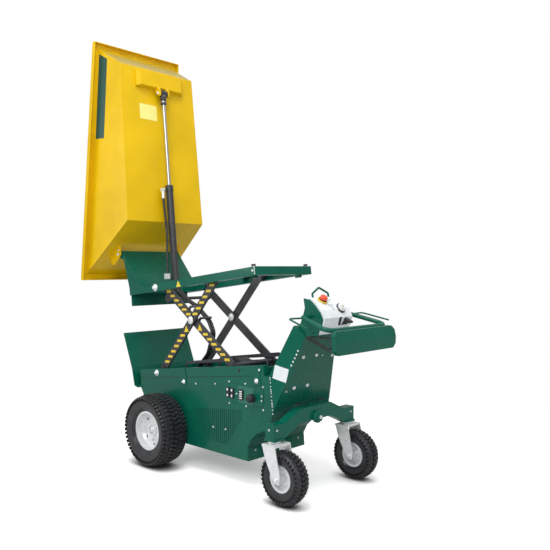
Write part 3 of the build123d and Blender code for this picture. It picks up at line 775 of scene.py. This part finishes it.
def chassis_fittings():
    steps = [(k + 0.35 * math.sin(5 * k)) / 13 for k in range(14)]
    # painted highlights: white beads along the tower's front seam stand in for the shine on its weld
    weld = [(SIDE, 932 + 22 * t, 657 - 196 * t) for t in steps]
    fixings("chassis", [
        ("panel_screws", "screw", 5.5, "zinc_steel", GROUND, "left", True,
         [(SIDE, 286, 546), (SIDE, 468, 568), (SIDE, 594, 597), (SIDE, 733, 600), (SIDE, 450, 301),
          (SIDE, 562, 305), (SIDE, 740, 470), (SIDE, 596, 469), (SIDE, 880, 468), (SIDE, 877, 598)]),
        ("switch_screws", "screw", 5, "zinc_steel", GROUND, "left", False,
         [(253, 661, 533), (253, 869, 545), (253, 869, 518)]),
        ("bracket_plugs", "cone", 15, "zinc_steel", DECK, "left", True,
         [(254, 159, -87), (254, 823, -86)]),
        ("pivot_heads", "cone", 21, "zinc_steel", DECK, "left", True, [(SIDE, -125, -26)]),
        ("rail_boss", "ring", 15, "green_paint", DECK, "left", True, [(SIDE, 853, -24)]),
        ("rail_boss_screw", "screw", 7, "zinc_steel", DECK, "left", True, [(253, 853, -24)]),
        ("seam_weld", "bead", 4.0, "white_film", GROUND, "left", True, weld),
        ("cover_screws", "screw", 6, "zinc_steel", GROUND, "rear", False,
         [(x, 755.3, 206) for x in (-190, 190)]),
        ("pivot_bolt", "bolt", 11, "zinc_steel", GROUND, "rear", False, [(0, 1092, 420)]),
        ("post_bolts", "bolt", 4.5, "zinc_steel", GROUND, "rear", True, [(330, 1062, 396)]),
        ("post_side_bolts", "bolt", 4.5, "zinc_steel", GROUND, "left", True, [(360, 1030, 398)]),
        ("belly_bolts", "bolt", 8, "zinc_steel", GROUND, "down", True,
         [(180, y, 150) for y in (-120, 60, 260, 480, 690)]),
        ("apron_bolts", "bolt", 7, "zinc_steel", GROUND, "front", True,
         [(x, -352, 500) for x in (60, 190)]),
    ])
    patches("chassis", [
        # painted shade: a dark strip along the fold under the rail, where shade falls
        ("rail_fold", "seam", DECK, 0.5, True,
         [rectangle(SIDE, -308, 128, -59, -55.5), rectangle(SIDE, 186, 796, -59, -55.5)]),
        # a black oval painted as the shade inside a hole in the rail
        ("rail_hole", "black_plastic", DECK, 0.4, True, [oval(SIDE, 683, -25, 9, 14, 20)]),
        ("switch_label", "panel_film", GROUND, 0.4, False, [rectangle(253, 678, 800, 484, 584, -3)]),
        ("rocker_marks", "white_button", GROUND, 1.2, False,
         [oval(x, y, z, 6, 8, 14) for x, y in ((258, 587), (261, 627)) for z in (516, 550)]),
        ("socket_bars", "white_button", GROUND, 1.2, False,
         [rectangle(261, 693, 715, z, z + 7, 2) for z in (508, 521, 534, 547)]),
    ])
    collar = [(0.036, 0), (0.036, 0.016), (0.03, 0.02), (0.026, 0.022), (0.026, 0.03), (0.02, 0.032)]
    dress(turned("pivot_collar", collar, 24, at(GROUND, "rear", (0, 1062.4, 420))), "chassis", "green_paint")
    grip = [(0.024, -0.002), (0.0235, 0.004), (0.019, 0.012), (0.010, 0.016), (0.001, 0.017)]
    dress(turned("knob_cap", grip, 8, at(GROUND, "left", (283, 800, 527))), "chassis", "black_plastic", 20)


def tower_fittings():
    plate = [tower_flank(951, 731), tower_flank(942, 656), tower_flank(1014, 633), tower_flank(1025, 708)]
    holes = ((137, 668), (-44, 671), (-64, 605), (-177, 607), (143, 545))
    fixings("chassis", [
        ("edge_screws", "screw", 6, "zinc_steel", GROUND, "left", True,
         [(164.5, 1067, 813), (169.5, 1060, 792), (174.5, 1052, 772), (180, 1044, 752), (185.5, 1036, 731)]),
        ("tower_bolts", "bolt", 9, "zinc_steel", GROUND, "rear", False,
         [tower_back(x, z) for x, z in ((111, 774), (-3, 775), (-153, 760), (122, 594), (7, 595))]),
        ("tower_screws", "screw", 5, "zinc_steel", GROUND, "rear", False,
         [tower_back(180, 577), tower_back(-61, 766)]),
        # black discs painted as the shade inside the column's holes
        ("tower_holes", "disc", 5, "black_plastic", TOWER_BACK, "down", False,
         [(x, (z - TOWER_START_Z) * TOWER_LENGTH, -0.2) for x, z in holes]),
    ])
    patches("chassis", [
        ("identity_plate", "white_film", GROUND, 1.0, False, [plate]),
        # black strips painted as the shade inside the column's slots
        ("tower_slots", "black_plastic", GROUND, 0.6, False,
         [[tower_back(x - 22, 493), tower_back(x + 22, 493), tower_back(x + 22, 484), tower_back(x - 22, 484)]
          for x in (48, -154)]),
    ])
    trims = (
        ("tower_trim", 0.0075, ((134, 1101, 893), (12, 1084, 842), (-108, 1067, 793), (-110, 1066, 792),
                                (-160, 1067, 793))),
        ("tower_edge_trim", 0.004, ((128, 1101, 892), (4, 1096, 876), (-118, 1090, 860))),
    )
    for name, radius, points in trims:
        dress(tube(name, [GROUND @ mm(*point) for point in points], radius), "chassis", "black_rubber")


def head_fittings():
    fixings("chassis", [
        ("stop_label", "ring", 30, "hazard", STOP, "up", False, [(0, 0, -1)]),
        ("stop_base", "ring", 24, "black_plastic", STOP, "up", False, [(0, 0, 4)]),
        ("stop_cap", "dome", 22, "red_plastic", STOP, "up", False, [(0, 0, 20.5)]),
        ("dial_heart", "dome", 6, "brass", DIAL, "up", False, [(0, 0, 17)]),
        ("head_screws", "screw", 6, "zinc_steel", GROUND, "up", True, [(118, 1108, 1105)]),
        ("clamp_bolts", "screw", 6, "green_paint", GROUND, "left", True,
         [(132, 1088, 1006), (132, 1150, 1014)]),
        ("cheek_bolts", "screw", 7, "green_paint", GROUND, "left", True, [(132, 1148, 917)]),
    ])
    dial_rings = (
        ("dial_flange", "black_plastic", [(0.030, -0.006), (0.030, 0.0015), (0.0285, 0.003), (0.001, 0.003)]),
        ("dial_dish", "white_button", [(0.0245, 0.002), (0.0245, 0.0088), (0.0235, 0.0096), (0.001, 0.0096)]),
        ("dial_cap", "white_button", [(0.0156, 0.008), (0.0156, 0.0166), (0.0146, 0.0174), (0.001, 0.0174)]),
    )
    for name, finish, profile in dial_rings:
        dress(turned(name, profile, 36, DIAL), "chassis", finish)
    gate = [head_rear(-102, 985), head_rear(-61, 998), head_rear(-30, 956), head_rear(-88, 956)]
    patches("chassis", [
        # black sheets painted as the shade in the lever slot, on its floor and along its side
        ("head_slot_floor", "black_plastic", GROUND, 1.0, False,
         [head_strip(-26.8, -14.2, 1000, 956, 1.5)]),
        ("head_slot_sides", "black_plastic", GROUND, 0.6, False, [head_strip(-14, -4, 1000, 956)]),
        ("lever_gate", "black_plastic", GROUND, 0.9, False, [gate]),
    ])
    icon = [(0.0085, 0.0006), (0.0065, 0.0006), (0.0065, -0.001), (0.0085, -0.001), (0.0085, 0.0006)]
    spots = [(head_slope(x, t), SLOPE_TILT) for x, t in ((26, 0.75), (4, 0.75), (-16, 0.62))]
    spots += [(head_fall(x, t), FALL_TILT) for x, t in ((34, 0.5), (12, 0.5), (24, 0.92))]
    places = [local_frame(GROUND @ mm(*spot), tilt) for spot, tilt in spots]
    icons = [turned("icon", icon, 20, place, closed=True) for place in places]
    dress(joined("head_icons", icons), "chassis", "grey_film")
    dots = []
    for angle in (-0.9, -0.3, 0.3, 0.9):
        start = local_frame(GROUND @ mm(-45 + 34 * math.sin(angle), 1192, 1061), FALL_TILT)
        place = start @ Matrix.Translation(mm(0, 34 * math.cos(angle), 0))
        dots.append(turned("dot", [(0.0035, -0.002), (0.0035, 0.0006), (0.0005, 0.0006)], 12, place))
    dress(joined("dial_dots", dots), "chassis", "hazard")


def frame_fittings():
    fixings("lift_frame", [
        ("frame_plugs", "cone", 25, "zinc_steel", DECK, "left", True, [(SIDE, -70, 544)]),
        ("frame_rivets", "bead", 4, "white_film", DECK, "left", True,
         [(SIDE, 882, z) for z in (527, 537, 547, 557, 565)]),
        ("frame_dot", "screw", 7, "zinc_steel", DECK, "left", True, [(SIDE, 866, 546)]),
        ("buffer_rings", "ring", 16, "zinc_steel", DECK, "up", True, [(230, 859, 570)]),
        ("foot_bolts", "bolt", 9, "zinc_steel", DECK, "left", False, [(40, -166, 544)]),
        ("foot_bolts_far", "nut", 9, "zinc_steel", DECK, "right", False, [(-40, -166, 544)]),
        ("hinge_heads", "dome", 11, "zinc_steel", DECK, "left", True, [(270, -452, 821)]),
        # weld beads in the lighter green, a painted highlight
        ("frame_weld", "bead", 3.6, "weld", DECK, "left", True,
         [(SIDE, -212 + 0.1 * k, 524 + 5 * k) for k in range(9)]),
    ])
    fixings("arm_b", [
        ("cap_near", "ring", 26, "zinc_steel", ARM_B, "left", True, [(199, 0, 0)]),
        ("cap_inner", "ring", 27, "zinc_steel", ARM_B, "right", True, [(158, 0, 0)]),
    ])
    sign = [(SIDE, 154, 524), (SIDE, 202, 524), (SIDE, 178, 564)]
    patches("lift_frame", [("frame_triangle", "hazard", DECK, 0.6, True, [sign])])


def skip_fittings():
    fixings("skip", [
        ("clevis_bolts", "bolt", 9, "zinc_steel", SKIP, "left", False, [(44, 1138, -281)]),
        ("clevis_nuts", "nut", 9, "zinc_steel", SKIP, "right", False, [(-44, 1138, -281)]),
        ("ear_bolts", "bolt", 6, "zinc_steel", SKIP, "left", True, [(268, 30, -6)]),
    ])
    patches("skip", [
        ("skip_plate", "pale_film", SKIP, 0.6, False,
         [[(30, 944, -235), (30, 1054, -235), (177, 1054, -235), (177, 944, -235)]]),
        ("end_film", "sand_film", SKIP, 0.5, False,
         [[(308, 1319, -225), (326, 1465.2, -15), (-326, 1465.2, -15), (-308, 1319, -225)]]),
        ("side_strip", "green_film", SKIP, 0.6, True,
         [[skip_wall(828, -16), skip_wall(1383, -89), skip_wall(1445, -2), skip_wall(842, 78)]]),
    ])


def cylinder_fittings():
    """The tip cylinder's gland, and the eye and neck on the end of its rod."""
    gland = [(0.0285, 0.700), (0.0285, 0.733), (0.027, 0.7375), (0.0135, 0.7375)]
    dress(turned("barrel_gland", gland, 32, TIP @ FACING["rear"]), "tip_barrel", "black_paint")
    end = TIP @ Matrix.Translation((0, (ROD_EYE - FOOT).length, 0))
    eye_rings = [(0.0235, -0.0228), (0.0248, -0.0215), (0.0248, 0.0215), (0.0235, 0.0228)]
    neck_rings = [(0.015, -0.083), (0.0206, -0.08), (0.0206, -0.064), (0.0185, -0.06), (0.0206, -0.056),
                  (0.0206, -0.022), (0.018, -0.02)]
    eye = turned("rod_eye", eye_rings, 32, end @ FACING["left"])
    neck = turned("rod_neck", neck_rings, 24, end @ FACING["rear"])
    dress(joined("rod_end", [eye, neck]), "tip_rod", "black_paint")


# ---------------------------------------------------------------- stage
LAMPS = (  # name, place, aimed at, size, share of the key power
    ("key_light", (3.8, 2.2, 3.6), (0, 0.1, 0.9), (2.2, 2.2), 0.75),
    ("side_box", (4.6, -3.6, 2.4), (0, 0.0, 1.3), (2.0, 2.4), 0.6),
    ("rear_fill", (1.6, 5.2, 2.4), (0, 0.2, 1.0), (2.4, 2.4), 0.35),
    ("top_light", (1.4, 0.8, 5.2), (0, 0.4, 0.0), (1.6, 1.6), 0.8),
)
WHITE = (1, 1, 1, 1)
CAMERA_PLACE, CAMERA_DOWN, CAMERA_TURN = (2.9239, 3.1830, 1.2848), 0.75, 133.36
FLOOR_SIZE, CONTACT_REACH, FADE_FROM, FADE_TO = 60, 0.13, 1.4, 2.8


def camera(settings):
    deselect()
    aim = (math.radians(90 - CAMERA_DOWN), 0, math.radians(CAMERA_TURN))
    bpy.ops.object.camera_add(location=CAMERA_PLACE, rotation=aim)
    taker = bpy.context.object
    taker.data.lens = settings.lens
    taker.data.sensor_width = 36
    bpy.context.scene.camera = taker


def floor():
    """A pale floor with soft contact shadows painted from ambient occlusion, which fades to white away from the
    machine.
    """
    deselect()
    bpy.ops.mesh.primitive_plane_add(size=FLOOR_SIZE, location=(0, 0, 0))
    plane = named("studio_floor")
    ground = Finish("pale_floor")
    ground.constant(Roughness=0.9, Specular_IOR_Level=0.1, Emission_Color=WHITE)
    seen = ground.node("ShaderNodeLightPath").outputs["Is Camera Ray"]
    # painted shadow: near the machine the floor's colour and glow darken with ambient occlusion
    nearby = ground.node("ShaderNodeAmbientOcclusion", {"Distance": CONTACT_REACH}, samples=8).outputs["AO"]
    clear = ground.ramp(nearby, 0.3, 0.85)
    contact = ground.mix(clear, (0.12, 0.12, 0.12), (1.0, 1.0, 1.0))
    glow = ground.math("MULTIPLY", seen, clear)
    ground.drive("Emission Strength", ground.ramp(glow, 0.0, 1.0, 0.0, 0.3))
    ground.drive("Base Color", ground.mix(seen, (0.58, 0.58, 0.58), contact))
    distance = ground.node("ShaderNodeVectorMath", {0: ground.place}, operation="LENGTH").outputs["Value"]
    faded = ground.math("MULTIPLY", ground.ramp(distance, FADE_FROM, FADE_TO), seen)
    white = ground.node("ShaderNodeEmission", {"Strength": 1.0, "Color": WHITE}).outputs[0]
    blend = ground.node("ShaderNodeMixShader", {0: faded, 1: ground.shader.outputs[0], 2: white})
    ground.set(ground.nodes["Material Output"].inputs["Surface"], blend.outputs[0])
    plane.data.materials.append(ground.material)


def room(settings):
    """A white room, brighter above, which the camera sees as plain white."""
    world = bpy.data.worlds.new("studio")
    bpy.context.scene.world = world
    world.use_nodes = True
    tree = Graph(world.node_tree)
    tree.nodes.clear()
    rays = tree.node("ShaderNodeLightPath").outputs
    direction = tree.node("ShaderNodeTexCoord").outputs["Generated"]
    height = tree.node("ShaderNodeSeparateXYZ", {0: direction}).outputs["Z"]
    rise = tree.ramp(height, 0.0, 0.55, 0.28, 1.0)
    gleam = tree.ramp(rays["Is Glossy Ray"], 0.0, 1.0, settings.ambient, settings.ambient * 0.8)
    sky = tree.math("MULTIPLY", rise, gleam)
    lit = tree.node("ShaderNodeBackground", {"Color": WHITE, "Strength": sky}).outputs[0]
    plain = tree.node("ShaderNodeBackground", {"Color": WHITE, "Strength": 1.0}).outputs[0]
    pick = tree.node("ShaderNodeMixShader", {0: rays["Is Camera Ray"], 1: lit, 2: plain}).outputs[0]
    tree.node("ShaderNodeOutputWorld", {"Surface": pick})


def lamps(settings):
    """Soft square lamps, each turned to its target."""
    for name, place, target, size, power in LAMPS:
        deselect()
        bpy.ops.object.light_add(type="AREA", location=place)
        lamp = bpy.context.object
        lamp.name = name
        lamp.data.energy = power * settings.key_power
        lamp.data.shape = "RECTANGLE"
        lamp.data.size, lamp.data.size_y = size
        lamp.rotation_euler = (Vector(place) - Vector(target)).to_track_quat("Z", "Y").to_euler()


def studio(settings):
    bpy.context.scene.view_settings.view_transform = "Standard"
    camera(settings)
    floor()
    room(settings)
    lamps(settings)


# ---------------------------------------------------------------- add-on
class DumperSettings(bpy.types.PropertyGroup):
    green: FloatVectorProperty(
        name="Machine green", description="Powder coat of the chassis, tower and lifting frame",
        subtype="COLOR", size=3, min=0, max=1, default=(0.002, 0.106, 0.067))
    yellow: FloatVectorProperty(
        name="Skip yellow", description="Powder coat of the skip",
        subtype="COLOR", size=3, min=0, max=1, default=(0.78, 0.50, 0.004))
    gloss: FloatProperty(
        name="Paint roughness", description="Mean roughness of the powder coat",
        subtype="FACTOR", min=0.05, max=0.9, default=0.27)
    drive_blocks: IntProperty(
        name="Drive tread blocks", description="Blocks round a drive tyre in each row",
        min=16, max=60, default=50)
    castor_blocks: IntProperty(
        name="Castor tread blocks", description="Blocks round a castor tyre in each row",
        min=16, max=60, default=36)
    mark_pitch: FloatProperty(
        name="Hazard mark pitch", description="Distance from one mark to the next along an arm",
        unit="LENGTH", min=0.03, max=0.1, default=0.0498)
    mark_length: FloatProperty(
        name="Hazard mark length", description="Length of a mark",
        unit="LENGTH", min=0.02, max=0.07, default=0.046)
    mark_tilt: FloatProperty(
        name="Hazard mark tilt", description="Slope of the marks from level",
        subtype="ANGLE", min=-0.5, max=0.5, default=0.06)
    lens: FloatProperty(
        name="Lens", description="Focal length of the studio camera",
        subtype="DISTANCE_CAMERA", min=20, max=100, default=43.2)
    ambient: FloatProperty(
        name="Ambient", description="Strength of the white room", min=0, max=2, default=0.9)
    key_power: FloatProperty(
        name="Key light", description="Power of the main lamp in watts", min=0, max=1000, default=90.0)


class DUMPER_OT_finishes(bpy.types.Operator):
    """Make every finish and paint the machine's own pieces"""
    bl_idname = "dumper.finishes"
    bl_label = "Finishes"

    def execute(self, context):
        make_finishes(context.scene.dumper)
        for row in frame["record"]["subparts"]:
            node = frame["nodes"][row["node"]]
            node.data.materials.clear()
            node.data.materials.append(MATERIALS[row["material_slot"]])
        return {"FINISHED"}


class DUMPER_OT_drive_wheels(bpy.types.Operator):
    """Make the turf tyres of the drive wheels"""
    bl_idname = "dumper.drive_wheels"
    bl_label = "Drive wheels"

    def execute(self, context):
        drive_wheels(context.scene.dumper)
        return {"FINISHED"}


class DUMPER_OT_castors(bpy.types.Operator):
    """Make the block tyres of the castors"""
    bl_idname = "dumper.castors"
    bl_label = "Castors"

    def execute(self, context):
        castor_wheels(context.scene.dumper)
        return {"FINISHED"}


class DUMPER_OT_hazard_marks(bpy.types.Operator):
    """Lay the hazard marks along the lifting arms"""
    bl_idname = "dumper.hazard_marks"
    bl_label = "Hazard marks"

    def execute(self, context):
        hazard_marks(context.scene.dumper)
        return {"FINISHED"}


class DUMPER_OT_chassis(bpy.types.Operator):
    """Fit the screws, plugs, labels and louvres of the chassis"""
    bl_idname = "dumper.chassis"
    bl_label = "Chassis fittings"

    def execute(self, context):
        louvres()
        chassis_fittings()
        return {"FINISHED"}


class DUMPER_OT_controls(bpy.types.Operator):
    """Fit the column, the control head and its buttons"""
    bl_idname = "dumper.controls"
    bl_label = "Control fittings"

    def execute(self, context):
        tower_fittings()
        head_fittings()
        return {"FINISHED"}


class DUMPER_OT_lift(bpy.types.Operator):
    """Fit the caps, plugs and plates of the lifting frame and the skip"""
    bl_idname = "dumper.lift"
    bl_label = "Lift and skip fittings"

    def execute(self, context):
        frame_fittings()
        skip_fittings()
        cylinder_fittings()
        return {"FINISHED"}


class DUMPER_OT_studio(bpy.types.Operator):
    """Set up the floor, lights and camera"""
    bl_idname = "dumper.studio"
    bl_label = "Studio"

    def execute(self, context):
        studio(context.scene.dumper)
        return {"FINISHED"}


STEPS = (DUMPER_OT_finishes, DUMPER_OT_drive_wheels, DUMPER_OT_castors, DUMPER_OT_hazard_marks,
         DUMPER_OT_chassis, DUMPER_OT_controls, DUMPER_OT_lift, DUMPER_OT_studio)


class DUMPER_PT_panel(bpy.types.Panel):
    """Sizes, colours and steps of the site dumper"""
    bl_label = "Site dumper"
    bl_space_type = "VIEW_3D"
    bl_region_type = "UI"
    bl_category = "Dumper"

    def draw(self, context):
        for key in DumperSettings.__annotations__:
            self.layout.prop(context.scene.dumper, key)
        for step in STEPS:
            self.layout.operator(step.bl_idname)


CLASSES = (DumperSettings, *STEPS, DUMPER_PT_panel)


def register():
    for item in CLASSES:
        bpy.utils.register_class(item)
    bpy.types.Scene.dumper = PointerProperty(type=DumperSettings)


def unregister():
    del bpy.types.Scene.dumper
    for item in reversed(CLASSES):
        bpy.utils.unregister_class(item)


def main():
    register()
    for step in STEPS:
        group, name = step.bl_idname.split(".")
        getattr(getattr(bpy.ops, group), name)()


if __name__ == "__main__":
    main()
